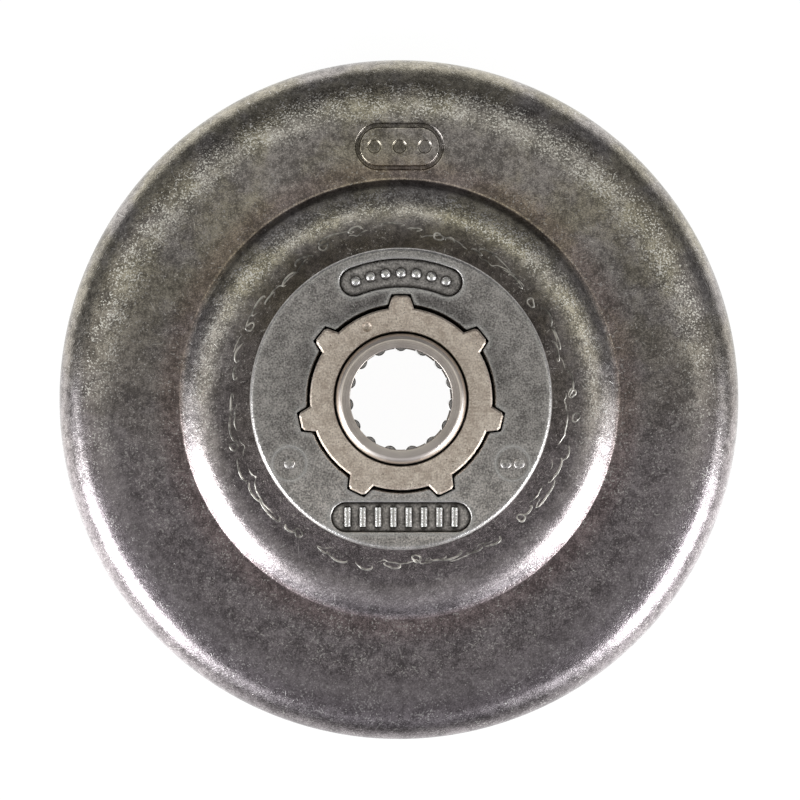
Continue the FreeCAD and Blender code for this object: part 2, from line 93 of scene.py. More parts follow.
def put(tree, kind, inputs=None, **props):
    # adds a node; each input is a value, or an output socket that gets linked
    node = tree.nodes.new("ShaderNode" + kind)
    for name, setting in props.items():
        setattr(node, name, setting)
    for socket, source in (inputs or {}).items():
        if isinstance(source, bpy.types.NodeSocket):
            tree.links.new(source, node.inputs[socket])
        else:
            node.inputs[socket].default_value = source
    return node


def calc(tree, operation, a, b=0.5, c=0.5):
    return put(tree, "Math", {0: a, 1: b, 2: c}, operation=operation).outputs[0]


def vector(tree, operation, a, b=(0.0, 0.0, 0.0), output=0):
    return put(tree, "VectorMath", {0: a, 1: b}, operation=operation).outputs[output]


def remap(tree, value, low, high, toLow=0.0, toHigh=1.0):
    return put(tree, "MapRange", {"Value": value, "From Min": low, "From Max": high, "To Min": toLow,
                                  "To Max": toHigh}, interpolation_type="SMOOTHSTEP").outputs[0]


def band(tree, value, rise, fall):
    # one between two fades and nought beyond them
    return calc(tree, "MULTIPLY", remap(tree, value, *rise), remap(tree, value, *fall))


def weigh(tree, *parts):
    # sum of values, each times its weight
    total = 0.0
    for value, weight in parts:
        total = calc(tree, "MULTIPLY_ADD", value, weight, total)
    return total


def strongest(tree, *parts):
    # the largest of several values, each times its weight
    top = 0.0
    for value, weight in parts:
        top = calc(tree, "MAXIMUM", calc(tree, "MULTIPLY", value, weight), top)
    return top


def mixColour(tree, factor, a, b, blend="MIX"):
    first, second = ((*colour, 1.0) if isinstance(colour, tuple) else colour for colour in (a, b))
    return put(tree, "Mix", {0: factor, 6: first, 7: second}, data_type="RGBA", blend_type=blend).outputs[2]


def tinted(tree, factor, colour, tint):
    return mixColour(tree, factor, colour, mixColour(tree, 1.0, colour, tint, "MULTIPLY"))


def newGroup(name, inputs, outputs):
    group = bpy.data.node_groups.new(name, "ShaderNodeTree")
    for label, default in inputs.items():
        kind = "NodeSocketVector" if default is None else "NodeSocketFloat"
        socket = group.interface.new_socket(label, in_out="INPUT", socket_type=kind)
        if default is not None:
            socket.default_value = default
    for label in outputs:
        group.interface.new_socket(label, in_out="OUTPUT", socket_type="NodeSocketFloat")
    return group, group.nodes.new("NodeGroupInput").outputs, group.nodes.new("NodeGroupOutput").inputs


def useGroup(tree, group, inputs):
    return put(tree, "Group", inputs, node_tree=group).outputs


def perLength(tree, length, share=1.0):
    # texture scale for a length in mm
    return calc(tree, "DIVIDE", share / mm, length)


def makeGrain():
    # two noises on the place in mm: a fine one for the skin and a broad one for tone
    group, given, out = newGroup("grain", {"Place": None, "Size": 0.2, "Spread": 3.0}, ["Fine", "Broad"])
    for label, size, detail in (("Fine", given["Size"], 2.0), ("Broad", given["Spread"], 4.0)):
        noise = put(group, "TexNoise", {"Vector": given["Place"], "Detail": detail, "Roughness": 0.62,
                                        "Scale": perLength(group, size)})
        group.links.new(noise.outputs[0], out[label])
    return group


def makeHatch():
    # the mean of three noises, each stretched along its own direction, like the marks of a tumbling drum
    tilt, turnsAndShifts = 0.3, ((0.35, 0.0), (1.45, 31.7), (2.50, 68.3))
    group, given, out = newGroup("hatch", {"Place": None, "Length": 0.5, "Width": 0.12}, ["Height"])
    long, thin = perLength(group, given["Length"]), perLength(group, given["Width"])
    scale = put(group, "CombineXYZ", {0: long, 1: thin, 2: thin}).outputs[0]
    parts = []
    for turn, shift in turnsAndShifts:
        turned = put(group, "Mapping", {"Vector": given["Place"], "Rotation": (0.0, tilt, turn)}).outputs[0]
        spread = put(group, "VectorMath", {0: turned, 1: scale, 2: (shift, shift, shift)},
                     operation="MULTIPLY_ADD").outputs[0]
        noise = put(group, "TexNoise", {"Vector": spread, "Scale": 1.0, "Detail": 1.0}).outputs[0]
        parts.append((noise, 1 / len(turnsAndShifts)))
    group.links.new(weigh(group, *parts), out["Height"])
    return group


def makeFlecks():
    # the peaks of a fine noise, thinned out where a broader noise is low
    patchScale, patchWeight, fade = 0.08, 0.30, 0.06
    group, given, out = newGroup("flecks", {"Place": None, "Size": 0.2, "Level": 0.7}, ["Mask"])
    fine, patch = (put(group, "TexNoise", {"Vector": given["Place"], "Detail": detail,
                                           "Scale": perLength(group, given["Size"], share)}).outputs[0]
                   for detail, share in ((1.0, 1.0), (2.0, patchScale)))
    raised = calc(group, "MULTIPLY_ADD", calc(group, "SUBTRACT", patch, 0.5), patchWeight, fine)
    above = calc(group, "SUBTRACT", raised, given["Level"])
    group.links.new(remap(group, above, 0.0, fade), out["Mask"])
    return group


def makeScratches():
    # one short bent line in each cell of a Voronoi pattern, at a turn and length of its own
    mostLean, mostBend, shortest = 0.6, 0.15, 0.3
    sideFade, endFade = (1.0, 0.4), (0.5, 0.3)
    group, given, out = newGroup("scratches", {"Place": None, "Spacing": 3.0, "Length": 1.2, "Width": 0.06,
                                               "Share": 0.5}, ["Mask"])
    cell = put(group, "TexVoronoi", {"Vector": given["Place"],
                                     "Scale": perLength(group, given["Spacing"])}).outputs
    chance = put(group, "SeparateColor", {0: cell["Color"]}).outputs
    local = vector(group, "SUBTRACT", given["Place"], cell["Position"])
    turn = calc(group, "MULTIPLY", chance[0], 2 * math.pi)
    lean = calc(group, "MULTIPLY_ADD", chance[1], 2 * mostLean, -mostLean)
    cosine, sine = calc(group, "COSINE", turn), calc(group, "SINE", turn)
    acrossAxis = put(group, "CombineXYZ", {0: cosine, 1: sine, 2: lean}).outputs[0]
    backwards = calc(group, "MULTIPLY", sine, -1.0)
    alongAxis = put(group, "CombineXYZ", {0: backwards, 1: cosine, 2: lean}).outputs[0]
    across, along = (calc(group, "DIVIDE", vector(group, "DOT_PRODUCT", local, axis, "Value"), mm)
                     for axis in (acrossAxis, alongAxis))
    bend = calc(group, "MULTIPLY", calc(group, "MULTIPLY", along, along),
                calc(group, "MULTIPLY_ADD", chance[2], 2 * mostBend, -mostBend))
    away = calc(group, "ABSOLUTE", calc(group, "ADD", across, bend))
    line = remap(group, calc(group, "DIVIDE", away, given["Width"]), *sideFade)
    reach = calc(group, "MULTIPLY", given["Length"],
                 calc(group, "MULTIPLY_ADD", chance[2], 1 - shortest, shortest))
    ends = remap(group, calc(group, "DIVIDE", calc(group, "ABSOLUTE", along), reach), *endFade)
    picked = calc(group, "LESS_THAN", chance[1], given["Share"])
    group.links.new(calc(group, "MULTIPLY", calc(group, "MULTIPLY", line, ends), picked), out["Mask"])
    return group


def blocked(tree, reach, **props):
    # share of rays from the surface that meet something within a reach in mm
    free = put(tree, "AmbientOcclusion", {"Distance": calc(tree, "MULTIPLY", reach, mm)}, samples=6, **props)
    return calc(tree, "SUBTRACT", 1.0, free.outputs["AO"])


def makeRelief():
    # raised: rays into the solid soon leave it again; hollow: rays away from it soon meet it
    group, given, out = newGroup("relief", {"Reach": 0.5}, ["Raised", "Hollow"])
    for label, inside in (("Raised", True), ("Hollow", False)):
        group.links.new(blocked(group, given["Reach"], inside=inside, only_local=True), out[label])
    return group


def makeCrevice():
    # marks where rays away from the surface soon meet another piece or a fold
    fade = (0.06, 0.30)
    group, given, out = newGroup("crevice", {"Reach": 0.4}, ["Mask"])
    group.links.new(remap(group, blocked(group, given["Reach"]), *fade), out["Mask"])
    return group


grain, hatch, flecks, scratches = makeGrain(), makeHatch(), makeFlecks(), makeScratches()
relief, crevice = makeRelief(), makeCrevice()


def newMaterial(name):
    material = bpy.data.materials.new(name)
    material.use_nodes = True
    tree = material.node_tree
    shader = tree.nodes["Principled BSDF"]
    shader.inputs["Metallic"].default_value = 1.0
    place = tree.nodes.new("ShaderNodeTexCoord").outputs["Object"]
    return material, tree, shader, place


def finishMaterial(tree, shader, colour, roughness, height, depth):
    bump = put(tree, "Bump", {"Height": height, "Distance": depth * mm, "Strength": 1.0})
    for source, socket in ((colour, "Base Color"), (roughness, "Roughness"), (bump.outputs[0], "Normal")):
        tree.links.new(source, shader.inputs[socket])


def skinOf(tree, place, settings):
    return useGroup(tree, grain, {"Place": place, "Size": settings["grainSize"],
                                  "Spread": settings["toneSpread"]})


def coordinates(tree, place):
    # X, Y and Z in mm
    return put(tree, "SeparateXYZ", {0: vector(tree, "MULTIPLY", place, (1 / mm,) * 3)}).outputs


def axisDistance(tree, place):
    # distance from the crankshaft's axis, in mm
    return vector(tree, "LENGTH", vector(tree, "MULTIPLY", place, (1 / mm, 1 / mm, 0)), output="Value")


def variedRoughness(tree, noise, settings):
    # the stated roughness, half the spread less or more
    spread = settings["roughnessSpread"]
    return calc(tree, "MULTIPLY_ADD", noise, spread, settings["roughness"] - spread / 2)


def paintGapShade(tree, colour, settings, share=1.0):
    # painted shade in the gaps beside other pieces and in folds, where rays soon meet something
    near = useGroup(tree, crevice, {"Reach": settings["gapReach"]})["Mask"]
    return tinted(tree, calc(tree, "MULTIPLY", near, share), colour, settings["gap"])


drumFinish = {
    "dark": (0.22, 0.203, 0.191), "light": (0.66, 0.616, 0.583), "fleck": (0.95, 0.92, 0.88),
    # tints: an olive reflection is painted on the upper side and a mauve one on the lower side; the top of
    # the flat gets painted light, and the shoulder's bend, the boss beside the rim, the boss's foot and the
    # stamp get painted shade
    "oliveReflection": (1.0, 0.99, 0.85), "mauveReflection": (0.90, 0.87, 0.95), "rust": (1.02, 0.925, 0.90),
    "underRimShade": (0.44, 0.42, 0.40), "rubbed": (1.15, 1.15, 1.12), "topFlatLight": (1.28, 1.27, 1.25),
    "creaseShade": (0.30, 0.29, 0.29), "bendShade": (0.66, 0.65, 0.66),
    # noises in mm, and their weights in the tone
    "grainSize": 0.17, "mottle": 0.8, "toneSpread": 2.6, "hueSpread": 8.0,
    "hatchLength": 0.45, "hatchWidth": 0.12,
    "grainSide": 30.0, "grainWeight": (0.32, 0.62), "spreadWeight": 0.48, "mottleWeight": 0.44,
    "streakRange": (0.44, 0.60), "streakMean": 0.45, "streakWeight": 0.16,
    "toneRange": (-0.21, 0.21), "patchRange": (0.40, 0.60),
    # fades by the distance from the axis in mm, in and out
    "flankIn": (19.0, 20.2), "flankOut": (23.0, 21.6), "bendIn": (29.0, 31.0), "bendOut": (34.5, 33.0),
    "footIn": (22.8, 23.6), "footOut": (26.8, 24.2), "topFlatLightIn": (23.8, 25.2), "topFlatLightOut": (30.2, 28.6),
    "bendShadeIn": (31.4, 33.2), "bendShadeOut": (34.5, 33.8), "cornerIn": (22.4, 22.9), "cornerOut": (23.6, 23.3),
    "underRimShadeOut": (19.9, 17.0), "underRimShadeLeast": 0.22,
    # fades along Y in mm, and along Z for the wall
    "upperFrom": (-14.0, 18.0), "topFlatLightFrom": (13.0, 22.0), "cornerShadeFrom": (8.0, 19.0), "rubFrom": (-10.0, 12.0),
    "rubContrast": (-0.42, 0.35), "wallFrom": (6.0, 20.0), "wallContrast": 0.4,
    # bright spots and cuts, which the steel has all over; the extra spots on the upper flank and bend are
    # painted glints
    "fleckSize": 0.20, "fleckLevel": 0.655, "levelUpper": 0.035, "levelRubbed": -0.02, "upperGlintLevel": -0.095,
    "blots": {"Size": 0.50, "Level": 0.705}, "fleckShare": 0.8, "blotShare": 0.45, "cutShare": 0.5,
    "nicks": {"Spacing": 1.4, "Length": 0.6, "Width": 0.06, "Share": 0.50},
    "lines": {"Spacing": 4.5, "Length": 1.6, "Width": 0.045, "Share": 0.35},
    "roughness": 0.25, "roughnessSpread": 0.12, "bumpDepth": 0.015,
    "grainBump": 0.30, "streakBump": 0.20, "cutBump": -0.4,
}


def makeDrumSteel(s):
    # tumbled steel: noises make the tone, rings and sides get tints, several of them painted reflections,
    # light and shade, and flecks and cuts stand out bright, some of them as painted glints
    material, tree, shader, place = newMaterial("drumSteel")
    along, radius = coordinates(tree, place), axisDistance(tree, place)
    skin = skinOf(tree, place, s)
    hue = useGroup(tree, grain, {"Place": place, "Size": s["mottle"], "Spread": s["hueSpread"]})
    worn = useGroup(tree, hatch, {"Place": place, "Length": s["hatchLength"],
                                  "Width": s["hatchWidth"]})["Height"]
    streaks = remap(tree, worn, *s["streakRange"])

    ring = {name: band(tree, radius, s[name + "In"], s[name + "Out"])
            for name in ("flank", "bend", "foot", "topFlatLight", "bendShade", "corner")}
    upper = remap(tree, along["Y"], *s["upperFrom"])
    rubbed = calc(tree, "MAXIMUM", ring["flank"], ring["bend"])
    rubContrast = remap(tree, along["Y"], *s["rubFrom"], *s["rubContrast"])
    contrast = calc(tree, "MULTIPLY", remap(tree, along["Z"], *s["wallFrom"], s["wallContrast"], 1.0),
                    calc(tree, "MULTIPLY_ADD", rubbed, rubContrast, 1.0))

    grainWeight = remap(tree, calc(tree, "SUBTRACT", along["X"], along["Y"]), -s["grainSide"], s["grainSide"],
                        *s["grainWeight"])
    tone = weigh(tree, *((calc(tree, "SUBTRACT", value, mean), weight) for value, mean, weight in (
        (skin["Fine"], 0.5, grainWeight), (skin["Broad"], 0.5, s["spreadWeight"]),
        (hue["Fine"], 0.5, s["mottleWeight"]), (streaks, s["streakMean"], s["streakWeight"]))))
    tone = remap(tree, calc(tree, "MULTIPLY", tone, contrast), *s["toneRange"])
    colour = mixColour(tree, tone, s["dark"], s["light"])

    # painted reflections: olive on the upper side, broken into patches, and mauve on the lower side
    patches = remap(tree, hue["Broad"], *s["patchRange"])
    # painted light: the flat is made lighter on its upper side
    topFlatLight = calc(tree, "MULTIPLY", remap(tree, along["Y"], *s["topFlatLightFrom"]), ring["topFlatLight"])
    # painted shade of the rim on the boss beside it, strongest on the upper side
    underRimShade = calc(tree, "MULTIPLY", remap(tree, radius, *s["underRimShadeOut"]),
                calc(tree, "MULTIPLY_ADD", upper, 1 - s["underRimShadeLeast"], s["underRimShadeLeast"]))
    # the darkened ring on the shoulder's bend is painted shade that trims the inner edge of its highlight
    for factor, tint in ((calc(tree, "MULTIPLY", upper, patches), "oliveReflection"),
                         (calc(tree, "SUBTRACT", 1.0, upper), "mauveReflection"), (ring["foot"], "rust"),
                         (ring["flank"], "rubbed"), (topFlatLight, "topFlatLight"),
                         (ring["bendShade"], "bendShade"), (underRimShade, "underRimShade")):
        colour = tinted(tree, factor, colour, s[tint])

    # the fleck level drops on the upper flank and bend, where the extra flecks are painted glints
    level = weigh(tree, (upper, s["levelUpper"]), (1.0, s["fleckLevel"]),
                  (rubbed, calc(tree, "MULTIPLY_ADD", upper, s["upperGlintLevel"], s["levelRubbed"])))
    spots = useGroup(tree, flecks, {"Place": place, "Size": s["fleckSize"], "Level": level})["Mask"]
    blots = useGroup(tree, flecks, {"Place": place, **s["blots"]})["Mask"]
    nicks, lines = (useGroup(tree, scratches, {"Place": place, **s[kind]})["Mask"]
                    for kind in ("nicks", "lines"))
    cut = calc(tree, "MAXIMUM", nicks, lines)
    bright = strongest(tree, (spots, s["fleckShare"]), (cut, s["cutShare"]), (blots, s["blotShare"]))
    colour = mixColour(tree, calc(tree, "MULTIPLY", bright, contrast), colour, s["fleck"])

    # painted shade in the crease at the boss's foot on the upper side, and in the stamp's grooves
    corner = calc(tree, "MULTIPLY", ring["corner"], remap(tree, along["Y"], *s["cornerShadeFrom"]))
    stampShade = put(tree, "Attribute", attribute_name="shade").outputs["Fac"]
    colour = tinted(tree, calc(tree, "MAXIMUM", corner, stampShade), colour, s["creaseShade"])

    height = weigh(tree, (worn, 1.0), (skin["Fine"], s["grainBump"]), (streaks, s["streakBump"]),
                   (cut, s["cutBump"]))
    finishMaterial(tree, shader, colour, variedRoughness(tree, hue["Fine"], s),
                   calc(tree, "MULTIPLY", height, contrast), s["bumpDepth"])
    return material


brazeFinish = {
    "dark": (0.20, 0.19, 0.175), "light": (0.80, 0.77, 0.71), "toneRange": (0.36, 0.58),
    "grainSize": 0.15, "toneSpread": 1.3, "roughness": 0.40, "roughnessSpread": 0.2, "bumpDepth": 0.02,
}


def makeBrazeMetal(s):
    material, tree, shader, place = newMaterial("brazeMetal")
    skin = skinOf(tree, place, s)
    colour = mixColour(tree, remap(tree, skin["Broad"], *s["toneRange"]), s["dark"], s["light"])
    finishMaterial(tree, shader, colour, variedRoughness(tree, skin["Fine"], s), skin["Fine"], s["bumpDepth"])
    return material


rimFinish = {
    "dark": (0.225, 0.212, 0.203), "light": (0.75, 0.712, 0.685), "edge": (0.98, 0.97, 0.95),
    "grainSize": 0.18, "toneSpread": 1.4, "grainWeight": 0.7, "spreadWeight": 0.4, "toneRange": (0.38, 0.74),
    # tints, and where they fade by the distance from the axis and along Y, in mm: painted shade round the hub
    # on the upper side, and painted light towards -Y
    "shade": (0.60, 0.60, 0.61), "shadeOut": (12.8, 10.2), "shadeFrom": (-3.0, 7.0),
    "lit": (1.32, 1.31, 1.30), "litFrom": (-3.0, -11.0),
    "hollow": (0.30, 0.29, 0.28), "hollowRange": (0.16, 0.55), "gap": (0.05, 0.045, 0.04), "gapReach": 0.45,
    # the two round marks, with fades in shares of their radius
    "markAt": (11.65, -6.73, 0.0), "markRadius": 1.75, "outlineIn": (0.86, 0.96), "outlineOut": (1.16, 1.04),
    "faintFrom": (1.05, 1.35), "faintLeast": 0.15,
    # worn edges and bright spots
    "wearReach": 0.7, "raisedRange": (0.09, 0.32), "wornGrain": (0.28, 0.46),
    "spots": {"Size": 0.18, "Level": 0.73}, "spotShare": 0.6, "outlineShare": 0.45,
    "roughness": 0.38, "wornRoughness": -0.14, "bumpDepth": 0.05,
}


def makeRimSteel(s):
    # cast steel, worn bare on its edges, with painted shade in its hollows and gaps and only faint shade in
    # its round marks
    material, tree, shader, place = newMaterial("rimSteel")
    along, radius = coordinates(tree, place), axisDistance(tree, place)
    skin = skinOf(tree, place, s)
    spots = useGroup(tree, flecks, {"Place": place, **s["spots"]})["Mask"]
    shape = useGroup(tree, relief, {"Reach": s["wearReach"]})
    tone = weigh(tree, (skin["Broad"], s["spreadWeight"]), (skin["Fine"], s["grainWeight"]))
    colour = mixColour(tree, remap(tree, tone, *s["toneRange"]), s["dark"], s["light"])
    # painted shade of the hub on the rim's upper side, and painted light on its lower side
    shade = calc(tree, "MULTIPLY", remap(tree, radius, *s["shadeOut"]),
                 remap(tree, along["Y"], *s["shadeFrom"]))
    colour = tinted(tree, shade, colour, s["shade"])
    colour = tinted(tree, remap(tree, along["Y"], *s["litFrom"]), colour, s["lit"])

    mirrored = put(tree, "CombineXYZ", {0: calc(tree, "ABSOLUTE", along["X"]), 1: along["Y"]}).outputs[0]
    toMark = calc(tree, "DIVIDE", vector(tree, "DISTANCE", mirrored, s["markAt"], "Value"), s["markRadius"])
    outline = band(tree, toMark, s["outlineIn"], s["outlineOut"])
    faint = remap(tree, toMark, *s["faintFrom"], s["faintLeast"], 1.0)
    # painted shade in the hollows, faint inside the round marks
    hollow = calc(tree, "MULTIPLY", remap(tree, shape["Hollow"], *s["hollowRange"]), faint)
    colour = tinted(tree, hollow, colour, s["hollow"])

    worn = calc(tree, "MULTIPLY", remap(tree, shape["Raised"], *s["raisedRange"]),
                remap(tree, skin["Fine"], *s["wornGrain"]))
    bare = strongest(tree, (spots, s["spotShare"]), (worn, 1.0), (outline, s["outlineShare"]))
    colour = paintGapShade(tree, mixColour(tree, bare, colour, s["edge"]), s, faint)
    roughness = calc(tree, "MULTIPLY_ADD", worn, s["wornRoughness"], s["roughness"])
    finishMaterial(tree, shader, colour, roughness, skin["Fine"], s["bumpDepth"])
    return material


hubFinish = {
    "dark": (0.58, 0.482, 0.402), "light": (1.0, 0.90, 0.785), "pit": (0.20, 0.155, 0.12),
    "edge": (0.97, 0.94, 0.90), "gap": (0.06, 0.05, 0.04), "gapReach": 0.28,
    "grainSize": 0.20, "toneSpread": 0.9, "grainWeight": 0.6, "spreadWeight": 0.5, "toneRange": (0.40, 0.72),
    "pits": {"Size": 0.22, "Level": 0.665}, "pitShare": 0.55, "pitBump": -0.5,
    "wearReach": 0.35, "raisedRange": (0.30, 0.55), "wornShare": 0.8,
    "roughness": 0.52, "wornRoughness": -0.22, "bumpDepth": 0.040,
}


def makeHubSteel(s):
    # sintered steel with dark pits, rubbed edges and painted shade in its gaps
    material, tree, shader, place = newMaterial("hubSteel")
    skin = skinOf(tree, place, s)
    pits = useGroup(tree, flecks, {"Place": place, **s["pits"]})["Mask"]
    worn = remap(tree, useGroup(tree, relief, {"Reach": s["wearReach"]})["Raised"], *s["raisedRange"])
    tone = weigh(tree, (skin["Broad"], s["spreadWeight"]), (skin["Fine"], s["grainWeight"]))
    colour = mixColour(tree, remap(tree, tone, *s["toneRange"]), s["dark"], s["light"])
    colour = mixColour(tree, calc(tree, "MULTIPLY", pits, s["pitShare"]), colour, s["pit"])
    colour = mixColour(tree, calc(tree, "MULTIPLY", worn, s["wornShare"]), colour, s["edge"])
    roughness = calc(tree, "MULTIPLY_ADD", worn, s["wornRoughness"], s["roughness"])
    height = weigh(tree, (skin["Fine"], 1.0), (pits, s["pitBump"]))
    finishMaterial(tree, shader, paintGapShade(tree, colour, s), roughness, height, s["bumpDepth"])
    return material


cupFinish = {
    "dark": (0.76, 0.675, 0.61), "light": (1.0, 0.915, 0.845), "gap": (0.08, 0.07, 0.06), "gapReach": 0.28,
    "grainSize": 0.12, "toneSpread": 1.2, "ringPitch": 0.12,
    "ringWeight": 0.5, "grainWeight": 0.4, "spreadWeight": 0.3, "toneRange": (0.42, 0.80),
    "lit": 0.85, "litFrom": (-3.0, -5.5), "roughness": 0.325, "roughnessSpread": 0.15, "bumpDepth": 0.008,
}
cageFinish = {**cupFinish, "dark": (0.24, 0.22, 0.20), "light": (0.42, 0.39, 0.36), "roughness": 0.405,
              "lit": 0.0}
needleFinish = {**cupFinish, "dark": (0.66, 0.65, 0.63), "light": (0.90, 0.89, 0.87), "roughness": 0.165,
                "ringPitch": 0.3, "bumpDepth": 0.0008, "lit": 0.0}


def makeDrawnSteel(name, s):
    # turned rings around the axis over a fine grain, paler towards -Y as painted light, with painted shade in
    # its gaps
    material, tree, shader, place = newMaterial(name)
    skin = skinOf(tree, place, s)
    rings = put(tree, "TexNoise", {"W": calc(tree, "DIVIDE", axisDistance(tree, place), s["ringPitch"]),
                                   "Scale": 1.0, "Detail": 1.0}, noise_dimensions="1D").outputs[0]
    tone = weigh(tree, (skin["Broad"], s["spreadWeight"]), (skin["Fine"], s["grainWeight"]),
                 (rings, s["ringWeight"]))
    # painted light: the lip is paler towards -Y
    lit = remap(tree, coordinates(tree, place)["Y"], *s["litFrom"], 0.0, s["lit"])
    tone = calc(tree, "MAXIMUM", remap(tree, tone, *s["toneRange"]), lit)
    colour = paintGapShade(tree, mixColour(tree, tone, s["dark"], s["light"]), s)
    finishMaterial(tree, shader, colour, variedRoughness(tree, skin["Broad"], s),
                   calc(tree, "ADD", rings, skin["Fine"]), s["bumpDepth"])
    return material


drumSteel = makeDrumSteel(drumFinish)
brazeMetal = makeBrazeMetal(brazeFinish)
rimSteel = makeRimSteel(rimFinish)
hubSteel = makeHubSteel(hubFinish)
cupSteel = makeDrawnSteel("cupSteel", cupFinish)
cageSteel = makeDrawnSteel("cageSteel", cageFinish)
needleSteel = makeDrawnSteel("needleSteel", needleFinish)
print("materials made:", len(bpy.data.materials))


# clutch drum

drum = {
    "outer": 36.5, "wall": 2.6, "height": 22.1, "crown": 12.0, "crownAngle": 24.0, "shoulder": 4.4,
    "mouthChamfer": 0.5, "bossHeight": 1.9, "bossTop": 18.74, "bossFlank": 6.3, "bossFoot": 0.25,
    "hubHole": 11.2, "skirt": 0.14, "skirtSlope": 28.0, "skirtReach": 0.6,
    "stampAt": 27.0, "stampLength": 4.7, "stampWidth": 2.5, "stampLine": 0.45, "stampDepth": 0.2,
    "stampSoft": 0.07, "stampMargin": 0.2, "dotRadius": 0.7, "dotPitch": 2.7,
    "lineShade": 0.75, "dotShade": 0.4, "wallShade": 0.3,
    # each wave: how many go round, its phase and its pace along the radius
    "waviness": 0.010, "waves": ((3, 0.4, 0.2), (7, 2.1, 0.5), (13, 4.0, 0.9), (22, 5.2, 1.6)),
    "wavePaceZ": 0.3, "flatMargin": 0.1, "steps": 260, "stampSteps": 160, "stampHalfAngle": 10.5,
}
bossTopZ = drum["height"] + drum["bossHeight"]
flankAngle = math.degrees(math.acos(1 - drum["bossHeight"] / (drum["bossFlank"] + drum["bossFoot"])))
footRadius = drum["bossTop"] + (drum["bossFlank"] + drum["bossFoot"]) * math.sin(math.radians(flankAngle))
flankCentre = (drum["bossTop"], bossTopZ - drum["bossFlank"])


def drumSection(d):
    # the cup's section as (radius, height): straight runs and tangent arcs, up the outside and back down the
    # inside; a short straight skirt at the boss's foot covers what lies lower than itself
    inner, top, under = d["outer"] - d["wall"], d["height"], d["height"] - d["wall"]
    lean = math.radians(d["crownAngle"])
    beyond = d["crown"] - d["shoulder"]
    shoulderCentre = (d["outer"] - d["shoulder"], top - d["crown"] + beyond * math.cos(lean))
    crownCentre = (shoulderCentre[0] - beyond * math.sin(lean), top - d["crown"])
    footCentre = (footRadius, top + d["bossFoot"])
    stampHalf = d["stampWidth"] + d["stampMargin"]
    stampFrom, stampTo = d["stampAt"] + stampHalf, d["stampAt"] - stampHalf
    meet = 90 - d["crownAngle"]
    crownAtStamp = 90 - math.degrees(math.asin((stampFrom - crownCentre[0]) / d["crown"]))
    section = np.concatenate([
        run((inner + d["mouthChamfer"], 0), (d["outer"] - d["mouthChamfer"], 0), 2),
        run((d["outer"] - d["mouthChamfer"], 0), (d["outer"], d["mouthChamfer"]), 1),
        run((d["outer"], d["mouthChamfer"]), (d["outer"], shoulderCentre[1]), 12),
        arc(shoulderCentre, d["shoulder"], 0, meet, 22),
        arc(crownCentre, d["crown"], meet, crownAtStamp, 12),
        arc(crownCentre, d["crown"], crownAtStamp, 90, 9),
        run((crownCentre[0], top), (stampTo, top), 66),
        run((stampTo, top), (footRadius + d["skirt"], top), 3),
        run((footRadius + d["skirt"], top), (footRadius, top), 4),
        arc(footCentre, d["bossFoot"], 270, 270 - flankAngle, 6),
        arc(flankCentre, d["bossFlank"], 90 - flankAngle, 90, 20),
        run((d["bossTop"], bossTopZ), (d["hubHole"], bossTopZ), 5),
        run((d["hubHole"], bossTopZ), (d["hubHole"], bossTopZ - d["wall"]), 2),
        run((d["hubHole"], bossTopZ - d["wall"]), (d["bossTop"], bossTopZ - d["wall"]), 3),
        arc(flankCentre, d["bossFlank"] - d["wall"], 90, 90 - flankAngle, 10),
        arc(footCentre, d["bossFoot"] + d["wall"], 270 - flankAngle, 270, 10),
        run((footRadius, under), (crownCentre[0], under), 4),
        arc(crownCentre, d["crown"] - d["wall"], 90, meet, 6),
        arc(shoulderCentre, d["shoulder"] - d["wall"], meet, 0, 10),
        run((inner, shoulderCentre[1]), (inner, d["mouthChamfer"]), 6),
        run((inner, d["mouthChamfer"]), (inner + d["mouthChamfer"], 0), 1),
    ])
    skirt = top + (footRadius + d["skirt"] - section[:, 0]) * math.tan(math.radians(d["skirtSlope"]))
    near = (section[:, 1] > top - d["skirt"]) & (np.abs(section[:, 0] - footRadius) < d["skirtReach"])
    section[:, 1] = np.where(near, np.maximum(section[:, 1], skirt), section[:, 1])
    return section


def stamp(d, x, y):
    # depth and painted shade: sunk where the distance to a round-ended outline, or to one of three dots, is
    # small; the shade darkens the grooves and their walls
    across = np.hypot(np.maximum(np.abs(x) - (d["stampLength"] - d["stampWidth"]), 0), y - d["stampAt"])
    halfLine, soft = d["stampLine"] / 2, d["stampSoft"]
    toLine = np.abs(across - (d["stampWidth"] - halfLine))
    nearest = np.clip(np.round(x / d["dotPitch"]), -1, 1) * d["dotPitch"]
    toDot = np.hypot(x - nearest, y - d["stampAt"])
    line = smoothStep(halfLine + soft, halfLine - soft, toLine)
    dot = smoothStep(d["dotRadius"] + soft, d["dotRadius"] - soft, toDot)
    walls = 4 * (line * (1 - line) + dot * (1 - dot))
    shade = d["lineShade"] * line + d["dotShade"] * dot + d["wallShade"] * walls
    return d["stampDepth"] * np.maximum(line, dot), shade


